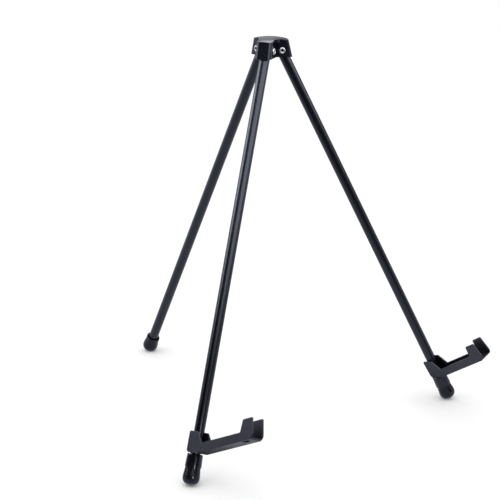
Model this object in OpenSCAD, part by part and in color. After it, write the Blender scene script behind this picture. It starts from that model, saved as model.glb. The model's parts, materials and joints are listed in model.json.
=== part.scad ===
// Folding tabletop easel: three rolled steel legs hinged to a moulded head, two folding picture arms.
// The origin is on the tabletop in the middle of the footprint, +Z is up and the picture faces -Y.
// Left and right are as seen from the front, so the left leg is on the -X side.

/* [Stand] */
// Overall height of the open easel
overall_height = 343; // [300:1:400]
// Angle between each open front leg and the vertical
front_splay = 26.55; // [24:0.05:29]
// Angle between the open rear leg and the vertical
rear_splay = 27.8; // [24:0.05:29]
// Distance from the middle of the footprint forwards to the head's centre line
head_forward = 18.07; // [0:0.01:30]
// Distance from the head's centre line to each leg's hinge pin
hinge_radius = 9.4; // [9.3:0.05:10]
// Height of the crown above the hinge pins
crown_above_hinge = 10.6; // [10.2:0.1:11.5]

/* [Leg tubes] */
// Outside diameter of the rolled tube
tube_d = 8.9; // [8.7:0.05:9]
// Thickness of the rolled sheet
tube_wall = 0.6; // [0.5:0.05:0.8]
// Width of the open seam on the tube's outer side
seam_w = 0.8; // [0.5:0.1:1.2]
// Length of tube above the hinge pin
tube_above_hinge = 5.5; // [5:0.1:5.8]

/* [Head] */
// Width of each forked lobe
lobe_w = 14; // [13.6:0.1:14.4]
// Thickness of each lobe's outer wall
lobe_wall = 1.2; // [1:0.1:1.6]
// Angle at which a lobe's outer end leans in
lobe_lean = 13.5; // [8:0.5:16]
// Depth of the lobes below the hinge pins
lobe_below_hinge = 5.8; // [5:0.1:7]
// Radius of the crown's central disc
crown_r = 10; // [9:0.1:12]
// Radius of curvature of the crown's shallow dome
dome_r = 60; // [50:1:140]

/* [Hinge pins] */
// Diameter of the rivet's shank
pin_d = 3; // [2.6:0.1:3.2]
// Diameter of the rivet's rolled head
pin_head_d = 5.6; // [5:0.1:6.2]
// Thickness of the rivet's head
pin_head_t = 0.95; // [0.8:0.05:1.2]

/* [Feet] */
// Widest diameter of the rubber foot
foot_d = 14.4; // [14:0.1:15]
// Length of the rubber foot
foot_len = 17.2; // [17:0.1:18.4]
// Widest diameter of the collar above each front foot
collar_d = 13.9; // [13.7:0.1:14.4]

/* [Picture arms] */
// Outside width of the arm's channel
arm_w = 11.9; // [11.8:0.05:12.6]
// Reach of the arm along its beam, from its pivot to its tip
arm_reach = 78.5; // [70:0.5:90]
// Height of the prongs above the beam
prong_h = 9.9; // [7:0.1:13]
// Angle by which a lowered arm rises above square to its leg
arm_rise = 15.2; // [12:0.1:18]
// Height of the arm's pivot along the leg
arm_pivot_h = 34.8; // [34.5:0.1:40]
// Direction of the arm round its leg, from the leg's outer side
arm_turn = 57.15; // [52:0.05:60]
// Angle by which the right arm stands raised from its stop
right_arm_raise = 5.2; // [0:0.1:12]

/* [Hidden] */
$fn = 96;

plastic_black = [0.13, 0.13, 0.16];
enamel_black = [0.06, 0.06, 0.08];
rubber_black = [0.07, 0.07, 0.09];
bright_steel = [0.75, 0.75, 0.77];

// Each leg is [direction round the head's centre line, splay, side of the leg that its arm is on]
left_leg = [-150, front_splay, 1];
right_leg = [-30, front_splay, -1];
rear_leg = [90, rear_splay, 0];
legs = [left_leg, right_leg, rear_leg];

// Small gaps that let parts turn, slip together or stop
turning_gap = 0.05;
slip_gap = 0.02;
stop_gap = 0.12;

// The head's heights, and the slot for each tube's upper end, whose roof and outer wall stop the open leg
hinge_z = overall_height - crown_above_hinge;
hub_bottom_z = hinge_z - lobe_below_hinge;
tube_r = tube_d / 2;
widest_splay = max(front_splay, rear_splay);
slot_w = tube_d + 0.4;
slot_roof_z = hinge_z + tube_above_hinge * cos(front_splay) + tube_r * sin(front_splay) + stop_gap;
slot_reach = hinge_radius + lobe_below_hinge * tan(widest_splay) + tube_r / cos(widest_splay) + stop_gap;
lobe_reach = slot_reach + lobe_wall;

// Rubber foot, whose rounded end is flattened slightly where it meets the tabletop
foot_r = foot_d / 2;
foot_edge_r = 5.5;
foot_neck_r = 6.45;
foot_flat = 0.25;
foot_sole = 2.4;

// A leg's frame starts on its axis at the foot's end: height of that point, and its distance up to the hinge
function foot_z(splay) = (foot_r - foot_edge_r) * sin(splay) + foot_edge_r * (1 - cos(splay)) - foot_flat;
function leg_len(splay) = (hinge_z - foot_z(splay)) / cos(splay);

// Collar, with a skirt that covers the top of the foot
collar_top = arm_pivot_h - 9.3;
collar_skirt = 2.7;
collar_wall = 0.6;

// Arm: thicknesses, and trunnions that snap into the tube
arm_wall = 1.3;
arm_floor = 1.5;
trunnion_r = 1.25;
trunnion_reach = 3.3;
beam_top = -2.9;
beam_bottom = -10.5;
lug_top = 9.1;
heel_bottom = -8.6;
lug_back = -5.1;
floor_back = tube_r + stop_gap;
floor_slot = [7.5, 4.5];
floor_slot_to_tip = 7.5;

// Points along the arc that rounds corner b between a and c, where a corner is [x, y, radius]
function unit(v) = v / norm(v);
function xy(p) = [p[0], p[1]];
function corner_arc(a, b, c, steps = 6) =
    b[2] == 0 ? [xy(b)] :
    let (
        to_a = unit(xy(a) - xy(b)),
        to_c = unit(xy(c) - xy(b)),
        half = acos(to_a * to_c) / 2,
        centre = xy(b) + unit(to_a + to_c) * b[2] / sin(half),
        start = xy(b) + to_a * b[2] / tan(half) - centre,
        end = xy(b) + to_c * b[2] / tan(half) - centre,
        from = atan2(start[1], start[0]),
        turn = atan2(start[0] * end[1] - start[1] * end[0], start * end)
    )
    [for (i = [0 : steps]) centre + b[2] * [cos(from + turn * i / steps), sin(from + turn * i / steps)]];
function rounded(outline) =
    let (n = len(outline))
    [for (i = [0 : n - 1]) each corner_arc(outline[(i + n - 1) % n], outline[i], outline[(i + 1) % n])];

// Places children round the head's centre line, with +X towards a leg
module towards(leg) {
    translate([0, -head_forward, 0]) rotate([0, 0, leg[0]]) children();
}

// Places children in a leg's frame: +Z up the leg from the foot's end, +X square to it and outwards
module on_leg(leg) {
    splay = leg[1];
    reach = hinge_radius + leg_len(splay) * sin(splay);
    towards(leg) translate([reach, 0, foot_z(splay)]) rotate([0, -splay, 0]) children();
}

// Places children in an arm's frame: the origin on its pivot, +X forwards, +Y up the leg, +Z sideways
module on_arm(leg, raise = 0) {
    on_leg(leg) translate([0, 0, arm_pivot_h]) rotate([0, 0, leg[2] * arm_turn]) rotate([90, 0, 0])
        rotate([0, 0, raise]) children();
}

// Places children on a leg's hinge, with +Z along the pin
module on_hinge(leg) {
    towards(leg) translate([hinge_radius, 0, hinge_z]) rotate([90, 0, 0]) children();
}

// One lobe before its slot is cut: an upright root and an outer end that leans in
module lobe() {
    corner_r = 3;
    length = 2 * crown_above_hinge + lobe_below_hinge;
    inner_half = lobe_w / 2 - corner_r;
    translate([0, -lobe_w / 2, hub_bottom_z]) cube([hinge_radius, lobe_w, length]);
    translate([lobe_reach, 0, hub_bottom_z]) rotate([0, -lobe_lean, 0]) translate([0, 0, -lobe_w / 2]) {
        for (side = [-1, 1]) translate([-corner_r, side * inner_half, 0]) cylinder(r = corner_r, h = length);
        translate([-corner_r, -inner_half, 0]) cube([corner_r, 2 * inner_half, length]);
        translate([-hinge_radius, -lobe_w / 2, 0]) cube([hinge_radius - corner_r, lobe_w, length]);
    }
}

// The slot in a lobe: open below, and closed by its roof and an outer wall that leans in
module lobe_slot() {
    lowest = hub_bottom_z - 1;
    function end_x(z) = slot_reach - (z - hub_bottom_z) * tan(lobe_lean);
    rotate([90, 0, 0]) linear_extrude(height = slot_w, center = true)
        polygon([[0, lowest], [end_x(lowest), lowest], [end_x(slot_roof_z), slot_roof_z], [0, slot_roof_z]]);
}

module head_hub() {
    color(plastic_black) difference() {
        intersection() {
            union() {
                for (leg = legs) towards(leg) lobe();
                translate([0, -head_forward, slot_roof_z]) cylinder(r = crown_r, h = crown_above_hinge);
            }
            translate([0, -head_forward, overall_height - dome_r]) sphere(r = dome_r);
            translate([0, -head_forward, hub_bottom_z]) cylinder(r = 2 * lobe_reach, h = 2 * crown_above_hinge);
        }
        for (leg = legs) towards(leg) lobe_slot();
        for (leg = legs) on_hinge(leg) cylinder(r = pin_d / 2 + slip_gap, h = 2 * lobe_w, center = true);
    }
}

// Tubular rivet through one lobe and its leg, with a rolled head at each end
module hinge_pin(leg) {
    half = lobe_w / 2 + slip_gap;
    recess_r = 1.1;
    recess_depth = 3;
    end = half + pin_head_t;
    head = [[recess_r, end - recess_depth, 0], [recess_r, end, 0.4], [pin_head_d / 2, end, 0.6],
        [pin_head_d / 2, half, 0.15], [pin_d / 2, half, 0], [pin_d / 2, end - recess_depth, 0]];
    color(bright_steel) on_hinge(leg) {
        cylinder(r = pin_d / 2, h = 2 * (end - recess_depth), center = true);
        for (flip = [0, 1]) mirror([0, 0, flip]) rotate_extrude() polygon(rounded(head));
    }
}

// Tube rolled from sheet, with its open seam facing outwards
module leg_tube(leg) {
    hinge = leg_len(leg[1]);
    top = hinge + tube_above_hinge;
    color(enamel_black) difference() {
        on_leg(leg) translate([0, 0, foot_sole]) cylinder(r = tube_r, h = top - foot_sole);
        on_leg(leg) cylinder(r = tube_r - tube_wall, h = top + 1);
        on_leg(leg) translate([0, -seam_w / 2, 0]) cube([tube_d, seam_w, top + 1]);
        on_hinge(leg) cylinder(r = pin_d / 2 + turning_gap, h = 2 * tube_d, center = true);
        if (leg != rear_leg) on_arm(leg) cylinder(r = trunnion_r + turning_gap, h = 2 * tube_d, center = true);
    }
}

// Collar pushed onto the tube under the arm's heel, with its skirt over the foot
module stop_collar(leg) {
    bore_r = tube_r + slip_gap;
    skirt_r = foot_neck_r + 0.1;
    ledge = foot_len + 0.05;
    ring = [[bore_r, ledge, 0], [skirt_r, ledge, 0], [skirt_r, foot_len - collar_skirt, 0],
        [collar_d / 2, foot_len - collar_skirt, 0.25], [collar_d / 2 - 0.4, collar_top, 0.8],
        [bore_r, collar_top, 0]];
    color(enamel_black) on_leg(leg) rotate_extrude() polygon(rounded(ring));
}

// Bell-shaped rubber boot, flattened where it meets the tabletop
module rubber_foot(leg) {
    bore_r = tube_r + slip_gap;
    bore_end = foot_sole - 0.1;
    bell = [[0, 0, 0], [foot_r, 0, foot_edge_r], [foot_r, 7, 3], [foot_neck_r, 13.5, 6],
        [foot_neck_r, foot_len, 0.6], [bore_r, foot_len, 0], [bore_r, bore_end, 0], [0, bore_end, 0]];
    color(rubber_black) difference() {
        on_leg(leg) rotate_extrude() polygon(rounded(bell));
        towards(leg) translate([0, -foot_d, -foot_d]) cube([leg_len(leg[1]), 2 * foot_d, foot_d]);
    }
}

// Side outline of a lowered arm about its pivot: rear lug, rising beam and upright prong
function on_beam(along, above, r) =
    [along * cos(arm_rise) - above * sin(arm_rise), along * sin(arm_rise) + above * cos(arm_rise), r];
function beam_line(above, height) = (height * cos(arm_rise) - above) / sin(arm_rise);
prong_top = beam_top + prong_h;
heel_along = (heel_bottom - beam_bottom * cos(arm_rise)) / sin(arm_rise);
arm_outline = [
    [lug_back, lug_top, 1.8],
    [6, lug_top, 0.8],
    on_beam(12.8, beam_top, 0.8),
    on_beam(arm_reach - 15.7, beam_top, 0.8),
    on_beam(arm_reach - 11.8, prong_top, 1.2),
    on_beam(arm_reach, prong_top, 1.2),
    on_beam(arm_reach, beam_bottom, 5),
    on_beam(heel_along, beam_bottom, 4),
    [lug_back, heel_bottom, 2.6]
];

// Moulded channel, open above and at both ends, with a slot through its floor beside the outer prong
module picture_arm(leg, raise) {
    inner_w = arm_w - 2 * arm_wall;
    far = 2 * arm_reach;
    slot_start = arm_reach - floor_slot_to_tip - floor_slot[0];
    slot_side = leg[2] * (inner_w - floor_slot[1]) / 2;
    color(plastic_black) on_arm(leg, raise) {
        difference() {
            linear_extrude(height = arm_w, center = true) polygon(rounded(arm_outline));
            difference() {
                cube([far, far, inner_w], center = true);
                intersection() {
                    translate([floor_back, -far, -inner_w]) cube([far, 2 * far, 2 * inner_w]);
                    union() {
                        translate([0, heel_bottom - far, -inner_w]) cube([far, far + arm_floor, 2 * inner_w]);
                        rotate([0, 0, arm_rise]) translate([0, beam_bottom - far, -inner_w])
                            cube([far, far + arm_floor, 2 * inner_w]);
                    }
                }
            }
            rotate([0, 0, arm_rise]) translate([slot_start, -far, slot_side - floor_slot[1] / 2])
                cube([floor_slot[0], far + beam_top, floor_slot[1]]);
        }
        for (flip = [0, 1]) mirror([0, 0, flip]) translate([0, 0, trunnion_reach])
            cylinder(r = trunnion_r, h = arm_w / 2 - arm_wall / 2 - trunnion_reach);
    }
}

head_hub();
hinge_pin(left_leg);  // hinge_pin_left
hinge_pin(right_leg);  // hinge_pin_right
hinge_pin(rear_leg);  // hinge_pin_rear
leg_tube(left_leg);  // leg_tube_left
leg_tube(right_leg);  // leg_tube_right
leg_tube(rear_leg);  // leg_tube_rear
stop_collar(left_leg);  // stop_collar_left
stop_collar(right_leg);  // stop_collar_right
rubber_foot(left_leg);  // rubber_foot_left
rubber_foot(right_leg);  // rubber_foot_right
rubber_foot(rear_leg);  // rubber_foot_rear
picture_arm(left_leg, 0);  // picture_arm_left
picture_arm(right_leg, right_arm_raise);  // picture_arm_right
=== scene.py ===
"""Looks for the folding tabletop easel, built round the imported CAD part.

Every piece is modelled in millimetres in its own part's frame (head, leg or arm) and scaled to metres when it
is placed. The frames come from the record's joints, so each piece lands on its CAD solid.
"""

import json
import math

import bmesh
import bpy
from mathutils import Matrix, Vector


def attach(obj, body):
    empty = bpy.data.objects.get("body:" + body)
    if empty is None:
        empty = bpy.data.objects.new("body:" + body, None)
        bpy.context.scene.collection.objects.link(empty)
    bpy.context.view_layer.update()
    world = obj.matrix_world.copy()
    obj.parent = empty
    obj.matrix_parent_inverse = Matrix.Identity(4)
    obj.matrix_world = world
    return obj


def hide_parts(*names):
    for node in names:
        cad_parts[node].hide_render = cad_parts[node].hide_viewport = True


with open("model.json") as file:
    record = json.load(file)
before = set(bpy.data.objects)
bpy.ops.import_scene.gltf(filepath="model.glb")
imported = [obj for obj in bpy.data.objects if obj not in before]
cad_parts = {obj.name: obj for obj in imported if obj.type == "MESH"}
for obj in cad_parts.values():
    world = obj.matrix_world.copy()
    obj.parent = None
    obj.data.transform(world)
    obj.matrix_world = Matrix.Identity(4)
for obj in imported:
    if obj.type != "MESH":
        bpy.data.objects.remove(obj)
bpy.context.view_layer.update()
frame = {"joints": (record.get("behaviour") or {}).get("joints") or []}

MM = 0.001
UP = Vector((0, 0, 1))
JOINTS = {joint["name"]: joint for joint in frame["joints"]}
SIDES = ("left", "right", "rear")

# Head, in millimetres
OVERALL_H = 343
HINGE_Z = 332.4
HUB_BOTTOM_Z = HINGE_Z - 5.8
LOBE_W = 14
LOBE_WALL = 1.2
SLOT_REACH = 17.61
LOBE_REACH = SLOT_REACH + LOBE_WALL
LOBE_LEAN = 13.5
LOBE_CORNER_R = 3
CROWN_R = 10
DOME_R = 60
SLOT_W = 9.3
STOP_GAP = 0.12

# Leg tube and its fittings
TUBE_R = 4.45
TUBE_WALL = 0.6
SEAM_W = 0.8
TUBE_ABOVE_HINGE = 5.5
TUBE_START = 2.4
FIT_PLAY = 0.02
PIN_R = 1.5
PIN_HEAD_R = 2.8
PIN_HEAD_T = 0.95
PIN_PLAY = 0.02
FOOT_R = 7.2
FOOT_EDGE_R = 5.5
FOOT_NECK_R = 6.45
FOOT_SHOULDER = 7
FOOT_NECK = 13.5
FOOT_LEN = 17.2
FOOT_FLAT = 0.25
COLLAR_R = 6.95
COLLAR_BOTTOM = 14.5
COLLAR_WAIST = 18.4
COLLAR_TOP = 25.5

# Picture arm: x forwards from the pivot, y up the leg
ARM_W = 11.9
ARM_WALL = 1.3
ARM_FLOOR = 1.5
ARM_RISE = math.radians(15.2)
ARM_REACH = 78.5
ARM_PIVOT_H = 34.8
BEAM_TOP = -2.9
BEAM_BOTTOM = -10.5
BEAM_START = 12.8
PRONG_TOP = 7
PRONG_FOOT = 15.7
PRONG_TIP = 11.8
LUG_BACK = -5.1
LUG_FRONT = 6
LUG_TOP = 9.1
HEEL_BOTTOM = -8.6
TRUNNION_R = 1.25
TRUNNION_REACH = 3.3
SLOT_LENGTH = 7.5
SLOT_WIDTH = 4.5
SLOT_TO_TIP = 7.5

# Camera: round to the left of the front, metres
VIEW_AZIMUTH = math.radians(-39.05)
VIEW_ELEVATION = math.radians(17.68)
VIEW_ROLL = math.radians(0.608)
VIEW_DISTANCE = 1.4024
VIEW_TARGET = Vector((-0.01241, -0.00913, 0.15212))
VIEW_LENS = 113.45

# Lights: the height of the overhead ones, in metres, and the strength of the white surroundings
OVERHEAD_Z = 0.49
SURROUND = 1.14


# ---------------------------------------------------------------- outlines

def rounded(corners, steps=8):
    """The outline's points with each corner (x, y, radius) replaced by an arc."""
    points = []
    count = len(corners)
    for i, (x, y, radius) in enumerate(corners):
        here = Vector((x, y))
        if radius == 0:
            points.append(here)
            continue
        to_prev = (Vector(corners[i - 1][:2]) - here).normalized()
        to_next = (Vector(corners[(i + 1) % count][:2]) - here).normalized()
        half = to_prev.angle(to_next) / 2
        centre = here + (to_prev + to_next).normalized() * radius / math.sin(half)
        start = here + to_prev * radius / math.tan(half) - centre
        end = here + to_next * radius / math.tan(half) - centre
        turn = math.atan2(start.x * end.y - start.y * end.x, start.dot(end))
        base = math.atan2(start.y, start.x)
        for k in range(steps + 1):
            a = base + turn * k / steps
            points.append(centre + radius * Vector((math.cos(a), math.sin(a))))
    return points


def on_beam(along, above, radius=0):
    """A corner given along the arm's beam and above its pivot line."""
    c, s = math.cos(ARM_RISE), math.sin(ARM_RISE)
    return along * c - above * s, along * s + above * c, radius


# ---------------------------------------------------------------- solids

def new_object(name, mesh_builder):
    """A mesh object holding what mesh_builder(bm) makes."""
    bm = bmesh.new()
    mesh_builder(bm)
    bmesh.ops.remove_doubles(bm, verts=bm.verts, dist=1e-5)
    bmesh.ops.recalc_face_normals(bm, faces=bm.faces)
    mesh = bpy.data.meshes.new(name)
    bm.to_mesh(mesh)
    bm.free()
    obj = bpy.data.objects.new(name, mesh)
    bpy.context.scene.collection.objects.link(obj)
    return obj


def prism(name, outline, low, high, matrix=None):
    """The outline extruded from low to high along local Z, then placed."""
    def build(bm):
        rings = [[bm.verts.new((p[0], p[1], z)) for p in outline] for z in (low, high)]
        bm.faces.new(reversed(rings[0]))
        bm.faces.new(rings[1])
        for i in range(len(outline)):
            j = (i + 1) % len(outline)
            bm.faces.new((rings[0][i], rings[0][j], rings[1][j], rings[1][i]))
        if matrix is not None:
            bmesh.ops.transform(bm, matrix=matrix, verts=bm.verts)
    return new_object(name, build)


def box(name, low, high, matrix=None):
    """An axis-aligned block from its lowest to its highest corner, then placed."""
    outline = [(low[0], low[1]), (high[0], low[1]), (high[0], high[1]), (low[0], high[1])]
    return prism(name, outline, low[2], high[2], matrix)


def lathe(name, profile, segments=96, matrix=None, closed=True):
    """The profile of (radius, height) points turned about local Z. Points at radius 0 become poles."""
    def build(bm):
        rings = []
        for radius, height in profile:
            if radius < 1e-6:
                rings.append([bm.verts.new((0, 0, height))] * segments)
                continue
            rings.append([bm.verts.new((radius * math.cos(a), radius * math.sin(a), height))
                          for a in (2 * math.pi * k / segments for k in range(segments))])
        last = len(rings) if closed else len(rings) - 1
        for i in range(last):
            low, high = rings[i], rings[(i + 1) % len(rings)]
            for k in range(segments):
                j = (k + 1) % segments
                corners = []
                for v in (low[k], low[j], high[j], high[k]):
                    if v not in corners:
                        corners.append(v)
                if len(corners) > 2:
                    bm.faces.new(corners)
        if matrix is not None:
            bmesh.ops.transform(bm, matrix=matrix, verts=bm.verts)
    return new_object(name, build)


def bake_modifiers(obj):
    """Replaces the object's mesh with its modified mesh."""
    mesh = bpy.data.meshes.new_from_object(obj.evaluated_get(bpy.context.evaluated_depsgraph_get()))
    obj.modifiers.clear()
    old = obj.data
    obj.data = mesh
    bpy.data.meshes.remove(old)


def combine(obj, operation, others):
    """Applies an exact boolean with each of the others, which are used up."""
    for other in others:
        modifier = obj.modifiers.new("combine", "BOOLEAN")
        modifier.solver = "EXACT"
        modifier.operation = operation
        modifier.object = other
        bake_modifiers(obj)
        bpy.data.objects.remove(other)
    return obj


def soften(obj, width, segments=3, sharp=28, weight=None):
    """Rounds every edge sharper than the angle. weight(edge midpoint) scales the width, 0 to 1."""
    bm = bmesh.new()
    bm.from_mesh(obj.data)
    bmesh.ops.remove_doubles(bm, verts=bm.verts, dist=1e-4)
    bmesh.ops.dissolve_limit(bm, angle_limit=math.radians(0.05), verts=bm.verts, edges=bm.edges)
    layer = bm.edges.layers.float.new("bevel_weight_edge")
    for edge in bm.edges:
        if len(edge.link_faces) == 2 and edge.calc_face_angle(0) > math.radians(sharp):
            middle = (edge.verts[0].co + edge.verts[1].co) / 2
            edge[layer] = 1 if weight is None else weight(middle)
    bm.to_mesh(obj.data)
    bm.free()
    modifier = obj.modifiers.new("soften", "BEVEL")
    modifier.limit_method = "WEIGHT"
    modifier.width = width
    modifier.segments = segments
    modifier.use_clamp_overlap = True
    modifier.miter_outer = "MITER_ARC"
    bake_modifiers(obj)
    return obj


def smooth(obj, angle=32):
    """Smooth shading with crisp edges above the angle, and normals that keep flat faces flat."""
    for polygon in obj.data.polygons:
        polygon.use_smooth = True
    obj.data.set_sharp_from_angle(angle=math.radians(angle))
    modifier = obj.modifiers.new("normals", "WEIGHTED_NORMAL")
    modifier.keep_sharp = True
    bake_modifiers(obj)
    return obj


def place(obj, matrix, body, node, material):
    """Scales a finished millimetre piece to metres, puts it in its part's frame and hands it to its body."""
    obj.data.transform(Matrix.Scale(MM, 4))
    obj.matrix_world = matrix
    obj.data.materials.clear()
    obj.data.materials.append(material)
    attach(obj, body)
    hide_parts(node)
    return obj


# ---------------------------------------------------------------- frames from the record

def columns(x, y, z, origin):
    """A matrix from its axes and origin."""
    m = Matrix.Identity(4)
    for i, axis in enumerate((x, y, z, origin)):
        m.col[i][0:3] = axis
    return m


def leg_frame(side):
    """A leg's frame and its length up to the hinge.

    The frame has its origin at the foot's end, +Z up the leg, +X outwards and +Y along the hinge.
    """
    joint = JOINTS["leg_%s_fold" % side]
    splay = math.radians(joint["range_deg"][1])
    hinge = Vector(joint["pos_m"])
    axis = Vector(joint["axis"]).normalized()
    open_leg = Matrix.Rotation(-splay, 3, axis)
    up = open_leg @ UP
    out = open_leg @ axis.cross(UP)
    end_z = (FOOT_R - FOOT_EDGE_R) * math.sin(splay) + FOOT_EDGE_R * (1 - math.cos(splay)) - FOOT_FLAT
    length = (HINGE_Z - end_z) / math.cos(splay)
    return columns(out, axis, up, hinge - up * length * MM), length


def arm_frame(side):
    """A picture arm's frame at rest: origin on its pivot, +X forwards, +Y up the leg and +Z sideways."""
    joint = JOINTS["arm_%s_fold" % side]
    axis = Vector(joint["axis"]).normalized()
    up = leg_frame(side)[0].col[2].to_3d()
    raised = Matrix.Rotation(math.radians(-joint["range_deg"][0]), 4, "Z")
    return columns(up.cross(axis), up, axis, Vector(joint["pos_m"])) @ raised


# ---------------------------------------------------------------- material helpers

def material(name):
    """A node material with a Principled surface: (material, nodes, links, surface)."""
    mat = bpy.data.materials.new(name)
    mat.use_nodes = True
    tree = mat.node_tree
    return mat, tree.nodes, tree.links, tree.nodes["Principled BSDF"]


def noise(nodes, links, scale, detail=4, stretch=(1, 1, 1), rough=0.55):
    """Noise over the piece's own coordinates; scale is in features per metre."""
    where = nodes.new("ShaderNodeTexCoord")
    mapping = nodes.new("ShaderNodeMapping")
    mapping.inputs["Scale"].default_value = stretch
    texture = nodes.new("ShaderNodeTexNoise")
    texture.inputs["Scale"].default_value = scale
    texture.inputs["Detail"].default_value = detail
    texture.inputs["Roughness"].default_value = rough
    links.new(where.outputs["Object"], mapping.inputs["Vector"])
    links.new(mapping.outputs["Vector"], texture.inputs["Vector"])
    return texture.outputs["Fac"]


def spread(nodes, links, source, low, high, start=0.3, end=0.7):
    """The source from start to end, mapped to low to high."""
    node = nodes.new("ShaderNodeMapRange")
    node.inputs["From Min"].default_value = start
    node.inputs["From Max"].default_value = end
    node.inputs["To Min"].default_value = low
    node.inputs["To Max"].default_value = high
    links.new(source, node.inputs["Value"])
    return node.outputs["Result"]


def tint(nodes, links, factor, low, high):
    """A colour between low and high."""
    node = nodes.new("ShaderNodeMix")
    node.data_type = "RGBA"
    node.inputs["A"].default_value = (*low, 1)
    node.inputs["B"].default_value = (*high, 1)
    links.new(factor, node.inputs["Factor"])
    return node.outputs["Result"]


def bump(nodes, links, height, distance, strength, below=None):
    """A bump over an optional coarser bump."""
    node = nodes.new("ShaderNodeBump")
    node.inputs["Distance"].default_value = distance
    node.inputs["Strength"].default_value = strength
    links.new(height, node.inputs["Height"])
    if below is not None:
        links.new(below, node.inputs["Normal"])
    return node.outputs["Normal"]


def edges(nodes, links, start=0.51, end=0.57):
    """1 on the rounded outer edges and 0 elsewhere."""
    geometry = nodes.new("ShaderNodeNewGeometry")
    return spread(nodes, links, geometry.outputs["Pointiness"], 0, 1, start, end)


def ramp_along(nodes, links, source, direction, low, high, start, end):
    """How far the source reaches along the direction, from start to end, mapped to low to high."""
    dot = nodes.new("ShaderNodeVectorMath")
    dot.operation = "DOT_PRODUCT"
    dot.inputs[1].default_value = direction
    links.new(source, dot.inputs[0])
    return spread(nodes, links, dot.outputs["Value"], low, high, start, end)


def open_sky(nodes, distance):
    """1 on open surfaces and towards 0 in recesses narrower than the distance."""
    node = nodes.new("ShaderNodeAmbientOcclusion")
    node.samples = 8
    node.inputs["Distance"].default_value = distance
    return node.outputs["AO"]


def multiply(nodes, links, a, b):
    node = nodes.new("ShaderNodeMath")
    node.operation = "MULTIPLY"
    links.new(a, node.inputs[0])
    links.new(b, node.inputs[1])
    return node.outputs["Value"]


# ---------------------------------------------------------------- materials

COOL_SHEEN = (0.78, 0.84, 1, 1)


def dark_material(name):
    """A material, as above, whose sheen is slightly blue."""
    mat, nodes, links, surface = material(name)
    surface.inputs["Specular Tint"].default_value = COOL_SHEEN
    return mat, nodes, links, surface


def moulded_plastic(name, base, worn, sheen, roughness, shade, coarsening):
    """Satin charcoal plastic: fine moulded grain, flow mottling, slightly polished edges, rougher recesses
    and painted shade in them.

    The shade is how far away a neighbouring surface still dulls the sheen, in metres. The coarsening is how
    many times rougher a recess is than an open face.
    """
    mat, nodes, links, surface = dark_material(name)
    mottle = noise(nodes, links, 90, 3)
    grain = noise(nodes, links, 2600, 3)
    patchy = spread(nodes, links, noise(nodes, links, 400, 4), 0.4, 1)
    rubbed = multiply(nodes, links, edges(nodes, links), patchy)
    body = tint(nodes, links, spread(nodes, links, mottle, 0, 1), base, [c * 1.35 for c in base])
    mix = nodes.new("ShaderNodeMix")
    mix.data_type = "RGBA"
    links.new(rubbed, mix.inputs["Factor"])
    links.new(body, mix.inputs["A"])
    mix.inputs["B"].default_value = (*worn, 1)
    links.new(mix.outputs["Result"], surface.inputs["Base Color"])
    sky = open_sky(nodes, shade)
    open_face = spread(nodes, links, mottle, *roughness)
    dulled = spread(nodes, links, sky, coarsening, 1, 0.15, 0.75)
    links.new(multiply(nodes, links, open_face, dulled), surface.inputs["Roughness"])
    # painted shade: the sheen is turned down towards 0.03 where ambient occlusion finds nearby surfaces,
    # standing in for shade in the recesses' reflections
    links.new(spread(nodes, links, sky, 0.03, sheen, 0.15, 0.75), surface.inputs["Specular IOR Level"])
    coarse = bump(nodes, links, noise(nodes, links, 220, 2), 0.0003, 0.12)
    links.new(bump(nodes, links, grain, 0.00006, 0.35, coarse), surface.inputs["Normal"])
    return mat


def enamel(name):
    """Semi-gloss black enamel over rolled sheet: faint orange peel and long draw marks along the tube."""
    mat, nodes, links, surface = dark_material(name)
    drawn = noise(nodes, links, 900, 3, (1, 1, 0.02))
    peel = noise(nodes, links, 1100, 2)
    patch = noise(nodes, links, 40, 3)
    shade = spread(nodes, links, patch, 0, 1)
    colour = tint(nodes, links, shade, (0.002, 0.002, 0.0035), (0.004, 0.004, 0.006))
    links.new(colour, surface.inputs["Base Color"])
    links.new(spread(nodes, links, drawn, 0.2, 0.3), surface.inputs["Roughness"])
    lines = bump(nodes, links, drawn, 0.00004, 0.35)
    links.new(bump(nodes, links, peel, 0.00003, 0.3, lines), surface.inputs["Normal"])
    return mat


def glossy_plastic(name):
    """Smooth black plastic of the collars, with faint ring marks from the mould."""
    mat, nodes, links, surface = dark_material(name)
    rings = noise(nodes, links, 1500, 2, (0.05, 0.05, 1))
    patch = noise(nodes, links, 160, 3)
    shade = spread(nodes, links, patch, 0, 1)
    colour = tint(nodes, links, shade, (0.002, 0.002, 0.003), (0.004, 0.004, 0.0055))
    links.new(colour, surface.inputs["Base Color"])
    links.new(spread(nodes, links, patch, 0.1, 0.18), surface.inputs["Roughness"])
    links.new(bump(nodes, links, rings, 0.00004, 0.3), surface.inputs["Normal"])
    return mat


def rubber(name):
    """Black moulded rubber: low sheen, patches of dusty bloom and a fine matte grain."""
    mat, nodes, links, surface = dark_material(name)
    bloom = noise(nodes, links, 240, 5)
    grain = noise(nodes, links, 3200, 3)
    shade = spread(nodes, links, bloom, 0, 1)
    colour = tint(nodes, links, shade, (0.003, 0.003, 0.0045), (0.007, 0.007, 0.0095))
    links.new(colour, surface.inputs["Base Color"])
    links.new(spread(nodes, links, bloom, 0.15, 0.26), surface.inputs["Roughness"])
    surface.inputs["Specular IOR Level"].default_value = 0.3
    links.new(bump(nodes, links, grain, 0.00005, 0.3), surface.inputs["Normal"])
    return mat


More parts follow.
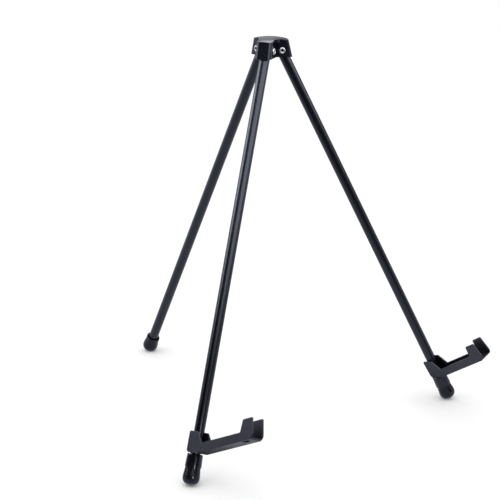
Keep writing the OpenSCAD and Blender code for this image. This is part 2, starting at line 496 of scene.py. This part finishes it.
def nickel(name):
    """Nickel-plated rivet: turned rings, fine scratches and painted shade darkening its hollow."""
    mat, nodes, links, surface = material(name)
    scratches = noise(nodes, links, 2400, 4, (1, 1, 0.2))
    stain = noise(nodes, links, 700, 4)
    colour = tint(nodes, links, spread(nodes, links, stain, 0, 1), (0.42, 0.42, 0.43), (0.54, 0.54, 0.56))
    # painted shade: the base colour goes nearly black inside the rivet's hollow, where ambient occlusion
    # finds close walls
    recess = nodes.new("ShaderNodeMix")
    recess.data_type = "RGBA"
    recess.inputs["A"].default_value = (0.01, 0.01, 0.012, 1)
    links.new(colour, recess.inputs["B"])
    links.new(spread(nodes, links, open_sky(nodes, 0.003), 0, 1, 0.25, 0.7), recess.inputs["Factor"])
    links.new(recess.outputs["Result"], surface.inputs["Base Color"])
    surface.inputs["Metallic"].default_value = 1
    links.new(spread(nodes, links, scratches, 0.3, 0.42), surface.inputs["Roughness"])
    links.new(bump(nodes, links, scratches, 0.00002, 0.2), surface.inputs["Normal"])
    return mat


# ---------------------------------------------------------------- head

def lobe(azimuth):
    """One lobe before its slot is cut: straight sides, rounded corners and an outer end that leans in."""
    spare = 4
    height = OVERALL_H - HUB_BOTTOM_Z + spare
    lean = height * math.tan(math.radians(LOBE_LEAN))
    inner = -2
    outline = [(inner, HUB_BOTTOM_Z), (LOBE_REACH, HUB_BOTTOM_Z),
               (LOBE_REACH - lean, HUB_BOTTOM_Z + height), (inner, HUB_BOTTOM_Z + height)]
    upright = Matrix.Rotation(math.pi / 2, 4, "X")
    solid = prism("lobe", outline, -LOBE_W / 2, LOBE_W / 2, upright)
    soften(solid, LOBE_CORNER_R, 12, 28, lambda p: 1 if p.x > LOBE_REACH - lean / 2 - 0.5 and abs(p.y) > 1
           and HUB_BOTTOM_Z + 1 < p.z < HUB_BOTTOM_Z + height - 1 else 0)
    solid.data.transform(Matrix.Rotation(azimuth, 4, "Z"))
    return solid


def hub_roof():
    """Height of the roof of the leg slots, just above an open tube's end."""
    splay = math.radians(JOINTS["leg_left_fold"]["range_deg"][1])
    return HINGE_Z + TUBE_ABOVE_HINGE * math.cos(splay) + TUBE_R * math.sin(splay) + STOP_GAP


def lobe_slot(roof, turn):
    """The slot for a tube's upper end: open below, under a roof and behind an outer wall that leans in."""
    low = HUB_BOTTOM_Z - 1
    lean = math.tan(math.radians(LOBE_LEAN))
    top = SLOT_REACH - (roof - HUB_BOTTOM_Z) * lean
    outline = [(0, low), (SLOT_REACH + lean, low), (top, roof), (0, roof)]
    return prism("slot", outline, -SLOT_W / 2, SLOT_W / 2, turn @ Matrix.Rotation(math.pi / 2, 4, "X"))


def head_centre():
    """The point on the tabletop under the head's centre line, midway between the three hinges, in metres."""
    middle = sum((Vector(JOINTS["leg_%s_fold" % side]["pos_m"]) for side in SIDES), Vector()) / len(SIDES)
    return Vector((middle.x, middle.y, 0))


def head_hub():
    """The moulded head about its centre line: lobes under a dome, less the leg slots and the rivet holes."""
    hinges = [(Vector(JOINTS["leg_%s_fold" % side]["pos_m"]) - head_centre()) / MM for side in SIDES]
    azimuths = [math.atan2(hinge.y, hinge.x) for hinge in hinges]
    roof = hub_roof()
    first, *others = [lobe(a) for a in azimuths]
    hub = combine(first, "UNION", others)
    for hinge, a in zip(hinges, azimuths):
        turn = Matrix.Rotation(a, 4, "Z")
        radius = PIN_R + PIN_PLAY
        bar = [(0, -LOBE_W), (radius, -LOBE_W), (radius, LOBE_W), (0, LOBE_W)]
        hole = lathe("hole", bar, 48, Matrix.Translation(hinge) @ turn @ Matrix.Rotation(math.pi / 2, 4, "X"))
        combine(hub, "DIFFERENCE", [lobe_slot(roof, turn), hole])
    web = roof + 0.05
    above = web + 8
    combine(hub, "UNION", [lathe("crown", [(0, web), (CROWN_R, web), (CROWN_R, above), (0, above)], 128)])
    edge = 26
    steps = 28
    radii = [edge * (1 - k / steps) for k in range(steps + 1)]
    dome = [(0, HUB_BOTTOM_Z - 2), (edge, HUB_BOTTOM_Z - 2)]
    dome += [(r, OVERALL_H - DOME_R + math.sqrt(DOME_R ** 2 - r ** 2)) for r in radii]
    combine(hub, "INTERSECT", [lathe("dome", dome, 160)])
    hub.name = "head_hub_moulding"
    soften(hub, 1.2, 5, 28, lambda p: 1 if p.z > roof + 0.8 else 0.33)
    return smooth(hub)


# ---------------------------------------------------------------- rivets

def hinge_pin(side):
    """A tubular rivet: a shank with a rolled, hollow head at each end."""
    half = LOBE_W / 2 + PIN_PLAY
    top = half + PIN_HEAD_T
    recess_r = 1.1
    depth = 3
    head = [(0, top - depth, 0), (recess_r, top - depth, 0.25), (recess_r, top, 0.7), (PIN_HEAD_R, top, 0.8),
            (PIN_HEAD_R, half, 0.12), (PIN_R, half, 0)]
    upper = [tuple(p) for p in rounded(head)]
    profile = upper + [(r, -z) for r, z in reversed(upper)]
    pin = lathe("hinge_pin_%s_rivet" % side, profile, 96, Matrix.Rotation(math.pi / 2, 4, "X"), closed=False)
    return smooth(pin, 40)


# ---------------------------------------------------------------- legs

def leg_tube(side, length):
    """A tube rolled from sheet, with an open seam outwards, a rivet hole and, on a front leg, arm holes."""
    inner = TUBE_R - TUBE_WALL
    lip = TUBE_WALL / 2
    gap = (SEAM_W / 2 + lip) / (TUBE_R - lip)
    steps = 120
    arc = [gap + (2 * math.pi - 2 * gap) * k / steps for k in range(steps + 1)]
    outline = [(TUBE_R * math.cos(a), TUBE_R * math.sin(a)) for a in arc]
    turns = 6
    for end, way in ((arc[-1], 1), (arc[0], -1)):
        middle = Vector((math.cos(end), math.sin(end))) * (TUBE_R - lip)
        start = end if way == 1 else end + math.pi
        for k in range(1, turns):
            a = start + math.pi * k / turns
            outline.append(tuple(middle + lip * Vector((math.cos(a), math.sin(a)))))
        if way == 1:
            outline += [(inner * math.cos(b), inner * math.sin(b)) for b in reversed(arc)]
    tube = prism("leg_tube_%s_rolled" % side, outline, TUBE_START, length + TUBE_ABOVE_HINGE)
    across = Matrix.Translation((0, 0, length)) @ Matrix.Rotation(math.pi / 2, 4, "X")
    holes = [(PIN_R + 0.05, across)]
    if side != "rear":
        sideways = Matrix(leg_frame(side)[0]).inverted() @ arm_frame(side)
        sideways.translation = (0, 0, ARM_PIVOT_H)
        holes.append((TRUNNION_R + 0.05, sideways))
    for radius, where in holes:
        reach = 2 * TUBE_R
        hole = [(0, -reach), (radius, -reach), (radius, reach), (0, reach)]
        combine(tube, "DIFFERENCE", [lathe("hole", hole, 32, where)])
    soften(tube, 0.1, 2, 50)
    return smooth(tube, 40)


def stop_collar(side):
    """The collar under the arm's heel, whose skirt covers the top of the foot."""
    bore = TUBE_R + FIT_PLAY
    skirt = FOOT_NECK_R + 0.1
    ledge = FOOT_LEN + 0.05
    ring = [(bore, ledge, 0.1), (skirt, ledge, 0), (skirt, COLLAR_BOTTOM, 0.15),
            (COLLAR_R, COLLAR_BOTTOM, 0.35), (COLLAR_R - 0.12, COLLAR_WAIST, 0.6),
            (COLLAR_R - 0.4, COLLAR_TOP, 0.9), (bore, COLLAR_TOP, 0.3)]
    return smooth(lathe("stop_collar_%s_ring" % side, rounded(ring), 128), 40)


def rubber_foot(side, matrix):
    """A bell-shaped boot with a moulding line at its widest point and a flat where it meets the table."""
    bore = TUBE_R + FIT_PLAY
    floor = TUBE_START - 0.1
    mouth = 5.3
    line = 5.7
    groove = 0.16
    bell = [(FOOT_R, 0, FOOT_EDGE_R), (FOOT_R, line - groove, 0.08), (FOOT_R - groove, line, 0.05),
            (FOOT_R, line + groove, 0.08), (FOOT_R, FOOT_SHOULDER, 3), (FOOT_NECK_R, FOOT_NECK, 6),
            (FOOT_NECK_R, FOOT_LEN, 0.6), (mouth, FOOT_LEN, 0.3), (bore, FOOT_LEN - 1, 0.3), (bore, floor, 0),
            (0, floor, 0), (0, 0, 0)]
    foot = lathe("rubber_foot_%s_boot" % side, rounded(bell), 128)
    to_leg = matrix.inverted().to_3x3() @ UP
    for vertex in foot.data.vertices:
        height = (matrix @ (vertex.co * MM)).z / MM
        if height < 0:
            vertex.co -= to_leg * height
    return smooth(foot, 45)


# ---------------------------------------------------------------- picture arms

def arm_outline():
    """The side view of an arm: rear lug, rising beam and upright prong."""
    heel_along = (HEEL_BOTTOM - BEAM_BOTTOM * math.cos(ARM_RISE)) / math.sin(ARM_RISE)
    return rounded([
        (LUG_BACK, LUG_TOP, 1.8),
        (LUG_FRONT, LUG_TOP, 0.8),
        on_beam(BEAM_START, BEAM_TOP, 0.8),
        on_beam(ARM_REACH - PRONG_FOOT, BEAM_TOP, 0.8),
        on_beam(ARM_REACH - PRONG_TIP, PRONG_TOP, 1.2),
        on_beam(ARM_REACH, PRONG_TOP, 1.2),
        on_beam(ARM_REACH, BEAM_BOTTOM, 5),
        on_beam(heel_along, BEAM_BOTTOM, 4),
        (LUG_BACK, HEEL_BOTTOM, 2.6),
    ], 10)


def channel_void():
    """The side view of the space between an arm's walls, above its floor and behind its heel's floor."""
    far = 2 * ARM_REACH
    stop = TUBE_R + STOP_GAP
    heel_floor = HEEL_BOTTOM + ARM_FLOOR
    beam_floor = BEAM_BOTTOM + ARM_FLOOR
    meet = (heel_floor * math.cos(ARM_RISE) - beam_floor) / math.sin(ARM_RISE)
    return [(-far, -far), (stop, -far), (stop, heel_floor), (meet, heel_floor),
            on_beam(far, beam_floor)[:2], (far, far), (-far, far)]


def picture_arm(side):
    """One moulded arm: a channel open above and at both ends, a slot in its floor, and snap-in trunnions."""
    outer = 1 if side == "left" else -1
    inner_w = ARM_W - 2 * ARM_WALL
    arm = prism("picture_arm_%s_moulding" % side, arm_outline(), -ARM_W / 2, ARM_W / 2)
    void = prism("void", channel_void(), -inner_w / 2, inner_w / 2)
    start = ARM_REACH - SLOT_TO_TIP - SLOT_LENGTH
    edge = outer * inner_w / 2
    inside = edge - outer * SLOT_WIDTH
    low = (start, -2 * ARM_REACH, min(edge, inside))
    high = (start + SLOT_LENGTH, BEAM_TOP, max(edge, inside))
    floor_slot = box("slot", low, high, Matrix.Rotation(ARM_RISE, 4, "Z"))
    combine(arm, "DIFFERENCE", [void, floor_slot])
    for end in (1, -1):
        post = [(0, TRUNNION_REACH), (TRUNNION_R, TRUNNION_REACH), (TRUNNION_R, ARM_W / 2 - ARM_WALL / 2),
                (0, ARM_W / 2 - ARM_WALL / 2)]
        post = [(r, end * z) for r, z in post]
        combine(arm, "UNION", [lathe("trunnion", post, 32)])
    soften(arm, 0.28, 3, 28)
    return smooth(arm)


# ---------------------------------------------------------------- assembly

def build_easel():
    hub_plastic = moulded_plastic("hub_plastic", base=(0.002, 0.0022, 0.005), worn=(0.007, 0.007, 0.011),
                                  sheen=0.5, roughness=(0.17, 0.25), shade=0.02, coarsening=1)
    arm_plastic = moulded_plastic("arm_plastic", base=(0.003, 0.0032, 0.007), worn=(0.009, 0.009, 0.014),
                                  sheen=0.42, roughness=(0.34, 0.42), shade=0.06, coarsening=2.4)
    tube_enamel = enamel("tube_enamel")
    collar_plastic = glossy_plastic("collar_plastic")
    foot_rubber = rubber("foot_rubber")
    rivet_steel = nickel("rivet_steel")
    place(head_hub(), Matrix.Translation(head_centre()), "head", "head_hub", hub_plastic)
    for side in SIDES:
        body = "leg_" + side
        matrix, length = leg_frame(side)
        hinge = JOINTS["leg_%s_fold" % side]
        axis = Vector(hinge["axis"]).normalized()
        pin_frame = columns(axis.cross(UP), axis, UP, Vector(hinge["pos_m"]))
        place(hinge_pin(side), pin_frame, "head", "hinge_pin_" + side, rivet_steel)
        place(leg_tube(side, length), matrix, body, "leg_tube_" + side, tube_enamel)
        place(rubber_foot(side, matrix), matrix, body, "rubber_foot_" + side, foot_rubber)
        if side == "rear":
            continue
        place(stop_collar(side), matrix, body, "stop_collar_" + side, collar_plastic)
        place(picture_arm(side), arm_frame(side), "arm_" + side, "picture_arm_" + side,
              arm_plastic)


# ---------------------------------------------------------------- stage

def pale_floor():
    """A plain pale floor.

    In reflections it is replaced by a glowing sheet, painted light that grows brighter towards the back and
    ends a little way in front of the easel.
    """
    half = 12
    floor = new_object("floor", lambda bm: bm.faces.new(
        [bm.verts.new((x, y, 0)) for x, y in ((-half, -half), (half, -half), (half, half), (-half, half))]))
    mat, nodes, links, surface = material("floor_paper")
    speckle = noise(nodes, links, 60, 3)
    colour = tint(nodes, links, speckle, (0.88, 0.88, 0.88), (0.92, 0.92, 0.92))
    links.new(colour, surface.inputs["Base Color"])
    surface.inputs["Roughness"].default_value = 0.9
    surface.inputs["Specular IOR Level"].default_value = 0.1
    where = nodes.new("ShaderNodeTexCoord").outputs["Object"]
    forwards = toward_camera(1, 0, 0)
    near = ramp_along(nodes, links, where, forwards, 0.85, 0.03, 0.2, 0.5)
    far = ramp_along(nodes, links, where, -forwards, 0, 0.4, 0.2, 0.9)
    total = nodes.new("ShaderNodeMath")
    links.new(near, total.inputs[0])
    links.new(far, total.inputs[1])
    # painted reflection light: an emission sheet that only glossy rays see, glowing in place of the floor
    sheet = nodes.new("ShaderNodeEmission")
    links.new(total.outputs["Value"], sheet.inputs["Strength"])
    sheet.inputs["Color"].default_value = (0.88, 0.9, 1, 1)
    path = nodes.new("ShaderNodeLightPath")
    mix = nodes.new("ShaderNodeMixShader")
    links.new(path.outputs["Is Glossy Ray"], mix.inputs["Fac"])
    links.new(surface.outputs["BSDF"], mix.inputs[1])
    links.new(sheet.outputs["Emission"], mix.inputs[2])
    links.new(mix.outputs["Shader"], nodes["Material Output"].inputs["Surface"])
    floor.data.materials.append(mat)


def softbox(name, location, target, size, power, tone=(1, 1, 1)):
    """A rectangular area light that faces its target."""
    data = bpy.data.lights.new(name, "AREA")
    data.shape = "RECTANGLE"
    data.size, data.size_y = size
    data.energy = power
    data.color = tone
    lamp = bpy.data.objects.new(name, data)
    bpy.context.scene.collection.objects.link(lamp)
    lamp.location = location
    lamp.rotation_euler = (Vector(target) - Vector(location)).to_track_quat("-Z", "Y").to_euler()
    lamp.visible_camera = False
    return lamp


def toward_camera(distance, sideways, height):
    """A place that far from the centre towards the camera, and that far to the camera's right."""
    back = Vector((math.sin(VIEW_AZIMUTH), -math.cos(VIEW_AZIMUTH), 0))
    right = Vector((math.cos(VIEW_AZIMUTH), math.sin(VIEW_AZIMUTH), 0))
    return back * distance + right * sideways + Vector((0, 0, height))


def overhead(name, left, right, back, front, brightness):
    """A softbox lying level above the easel, that only shiny surfaces see. Its sides are the camera's."""
    middle = toward_camera((front + back) / 2, (left + right) / 2, OVERHEAD_Z)
    size = (right - left, front - back)
    lamp = softbox(name, middle, middle - UP, size, math.pi * size[0] * size[1] * brightness, (0.93, 0.95, 1))
    lamp.rotation_euler = (0, 0, VIEW_AZIMUTH)
    lamp.visible_diffuse = False


def studio():
    """White surroundings, which shiny surfaces see only behind and beside the easel, and soft lights.

    The low strip, which has a narrow beam, draws a line of light down the left foot and its collar.
    """
    world = bpy.data.worlds.new("studio")
    bpy.context.scene.world = world
    world.use_nodes = True
    nodes, links = world.node_tree.nodes, world.node_tree.links
    background = nodes["Background"]
    path = nodes.new("ShaderNodeLightPath")
    where = nodes.new("ShaderNodeTexCoord").outputs["Generated"]
    forwards = toward_camera(1, 0, 0)
    rightwards = toward_camera(0, 1, 0)
    behind = ramp_along(nodes, links, where, -forwards, 0.02, 0.95, 0.1, 0.9)
    above = ramp_along(nodes, links, where, UP, 0.12, 1, 0.05, 0.17)
    not_right = ramp_along(nodes, links, where, rightwards, 1, 0.25, 0.02, 0.14)
    wall = multiply(nodes, links, multiply(nodes, links, behind, above), not_right)
    beside = ramp_along(nodes, links, where, rightwards, 0, 1, 0.9, 1)
    total = nodes.new("ShaderNodeMath")
    links.new(wall, total.inputs[0])
    links.new(beside, total.inputs[1])
    mix = nodes.new("ShaderNodeMix")
    links.new(path.outputs["Is Glossy Ray"], mix.inputs["Factor"])
    mix.inputs["A"].default_value = SURROUND
    links.new(total.outputs["Value"], mix.inputs["B"])
    links.new(mix.outputs["Result"], background.inputs["Strength"])
    colour = tint(nodes, links, path.outputs["Is Glossy Ray"], (1, 1, 1), (0.9, 0.87, 1))
    links.new(colour, background.inputs["Color"])
    overhead("overhead_left", left=-1.5, right=-0.28, back=-0.6, front=0.25, brightness=6)
    overhead("overhead_right", left=-0.03, right=1.2, back=-0.2, front=0.8, brightness=4)
    key = softbox("key", toward_camera(0.5, -0.5, 1.2), Vector((0, 0, 0.1)), size=(1.4, 1), power=2.5)
    key.visible_glossy = False
    foot = toward_camera(0.17, -0.05, 0.02)
    strip = softbox("strip", toward_camera(0.45, 0.075, 0.09), foot, size=(0.05, 0.07), power=0.022)
    strip.visible_diffuse = False
    strip.data.spread = math.radians(40)


def camera():
    """The camera, from its angles round the easel, its distance and its lens."""
    back = Vector((math.sin(VIEW_AZIMUTH) * math.cos(VIEW_ELEVATION),
                   -math.cos(VIEW_AZIMUTH) * math.cos(VIEW_ELEVATION), math.sin(VIEW_ELEVATION)))
    level = Vector((math.cos(VIEW_AZIMUTH), math.sin(VIEW_AZIMUTH), 0))
    above = back.cross(level)
    right = level * math.cos(VIEW_ROLL) + above * math.sin(VIEW_ROLL)
    over = above * math.cos(VIEW_ROLL) - level * math.sin(VIEW_ROLL)
    data = bpy.data.cameras.new("camera")
    data.lens = VIEW_LENS
    data.sensor_width = 36
    data.clip_start = 0.05
    data.clip_end = 50
    seen = bpy.data.objects.new("camera", data)
    bpy.context.scene.collection.objects.link(seen)
    seen.matrix_world = columns(right, over, back, VIEW_TARGET + back * VIEW_DISTANCE)
    bpy.context.scene.camera = seen


build_easel()
pale_floor()
studio()
camera()
bpy.context.scene.view_settings.view_transform = "Standard"
